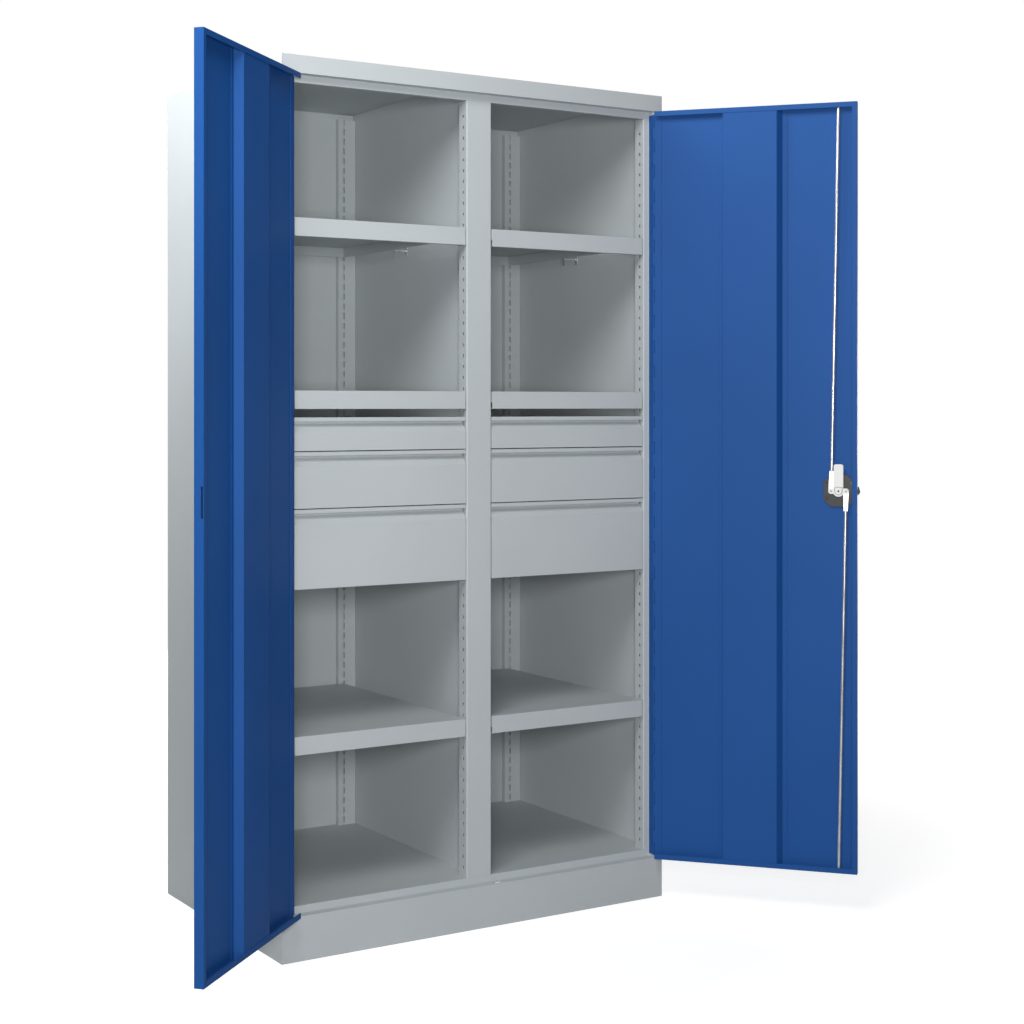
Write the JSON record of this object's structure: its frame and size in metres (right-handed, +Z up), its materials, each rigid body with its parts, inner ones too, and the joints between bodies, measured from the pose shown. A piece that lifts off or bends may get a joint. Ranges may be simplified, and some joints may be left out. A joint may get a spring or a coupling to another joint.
{
  "type": "storage cabinet",
  "caption": "Tall free-standing sheet steel cabinet with hinged doors, a three-point lock, a centre post, shelves and pull-out drawers.",
  "frame": {"origin": "centre of the cabinet's footprint, on the floor", "axes": "+Z up, -Y out of the door openings, +X to the right of someone who faces the open cabinet"},
  "size_m": [1.6712, 1.0177, 1.95],
  "materials": {
    "door_blue": "satin powder coat",
    "carcass_grey": "fine textured powder coat",
    "zinc": "bright zinc plate",
    "galvanised": "galvanised",
    "black_plastic": "matt",
    "white_plastic": "matt",
    "cylinder_chrome": "polished"
  },
  "bodies": {
    "cabinet": {"back_panel": "carcass_grey", "centre_partition": "carcass_grey", "centre_post": "carcass_grey", "floor_panel": "carcass_grey", "left_cabinet_rails": "galvanised", "left_lower_shelf": "carcass_grey", "left_middle_shelf": "carcass_grey", "left_rail_glides": "white_plastic", "left_side_panel": "carcass_grey", "left_upper_shelf": "carcass_grey", "plinth": "carcass_grey", "post_hinge_leaves": "door_blue", "rear_uprights": "carcass_grey", "right_cabinet_rails": "galvanised", "right_lower_shelf": "carcass_grey", "right_middle_shelf": "carcass_grey", "right_rail_glides": "white_plastic", "right_side_panel": "carcass_grey", "right_upper_shelf": "carcass_grey", "shelf_clips": "zinc", "side_front_posts": "carcass_grey", "top_panel": "carcass_grey"},
    "right_door": {"handle_escutcheon": "black_plastic", "lock_base_plate": "black_plastic", "lock_screws": "zinc", "right_door_hinge_leaf": "door_blue", "right_door_skin": "door_blue", "right_door_stiffener": "door_blue"},
    "left_bottom_drawer": {"left_bottom_drawer_box": "carcass_grey", "left_bottom_drawer_front": "carcass_grey", "left_bottom_drawer_glides": "white_plastic"},
    "left_door": {"left_door_hinge_leaf": "door_blue", "left_door_skin": "door_blue", "left_door_stiffener": "door_blue"},
    "left_middle_drawer": {"left_middle_drawer_box": "carcass_grey", "left_middle_drawer_front": "carcass_grey", "left_middle_drawer_glides": "white_plastic"},
    "left_top_drawer": {"left_top_drawer_box": "carcass_grey", "left_top_drawer_front": "carcass_grey", "left_top_drawer_glides": "white_plastic"},
    "lock": {"lock_cam": "zinc", "turn_handle": "black_plastic"},
    "key_cylinder": {"lock_cylinder": "cylinder_chrome"},
    "lower_rod": {"lower_rod": "zinc"},
    "right_bottom_drawer": {"right_bottom_drawer_box": "carcass_grey", "right_bottom_drawer_front": "carcass_grey", "right_bottom_drawer_glides": "white_plastic"},
    "right_middle_drawer": {"right_middle_drawer_box": "carcass_grey", "right_middle_drawer_front": "carcass_grey", "right_middle_drawer_glides": "white_plastic"},
    "right_top_drawer": {"right_top_drawer_box": "carcass_grey", "right_top_drawer_front": "carcass_grey", "right_top_drawer_glides": "white_plastic"},
    "upper_rod": {"upper_rod": "zinc"}
  },
  "joints": [
    {"name": "left_door_hinge", "type": "hinge", "parent": "cabinet", "child": "left_door", "pos_m": [-0.4863, -0.3208, 1], "axis": [0, 0, -1], "range_deg": [-138.7, 36.3]},
    {"name": "right_door_hinge", "type": "hinge", "parent": "cabinet", "child": "right_door", "pos_m": [0.4863, -0.3208, 1], "axis": [0, 0, 1], "range_deg": [-131.5, 43.5]},
    {"name": "left_top_drawer_slide", "type": "slide", "parent": "cabinet", "child": "left_top_drawer", "axis": [0, -1, 0], "range_m": [0, 0.43]},
    {"name": "left_middle_drawer_slide", "type": "slide", "parent": "cabinet", "child": "left_middle_drawer", "axis": [0, -1, 0], "range_m": [0, 0.43]},
    {"name": "left_bottom_drawer_slide", "type": "slide", "parent": "cabinet", "child": "left_bottom_drawer", "axis": [0, -1, 0], "range_m": [0, 0.43]},
    {"name": "right_top_drawer_slide", "type": "slide", "parent": "cabinet", "child": "right_top_drawer", "axis": [0, -1, 0], "range_m": [0, 0.43]},
    {"name": "right_middle_drawer_slide", "type": "slide", "parent": "cabinet", "child": "right_middle_drawer", "axis": [0, -1, 0], "range_m": [0, 0.43]},
    {"name": "right_bottom_drawer_slide", "type": "slide", "parent": "cabinet", "child": "right_bottom_drawer", "axis": [0, -1, 0], "range_m": [0, 0.43]},
    {"name": "lock_turn", "type": "hinge", "parent": "right_door", "child": "lock", "pos_m": [0.77305, -0.65699, 0.995], "axis": [0.749, 0.6626, 0], "range_deg": [0, 90]},
    {"name": "key_turn", "type": "hinge", "parent": "lock", "child": "key_cylinder", "pos_m": [0.78654, -0.64506, 0.995], "axis": [0.749, 0.6626, 0], "range_deg": [0, 90]},
    {"name": "upper_rod_pin", "type": "hinge", "parent": "lock", "child": "upper_rod", "pos_m": [0.75932, -0.64644, 0.995], "axis": [0.749, 0.6626, 0], "range_deg": [-92, 0]},
    {"name": "lower_rod_pin", "type": "hinge", "parent": "lock", "child": "lower_rod", "pos_m": [0.78185, -0.67191, 0.995], "axis": [0.749, 0.6626, 0], "range_deg": [-92, 0]}
  ],
  "couplings": [
    {"joint": "upper_rod_pin", "follows": "lock_turn", "ratio": -1.0119},
    {"joint": "lower_rod_pin", "follows": "lock_turn", "ratio": -1.0121}
  ]
}
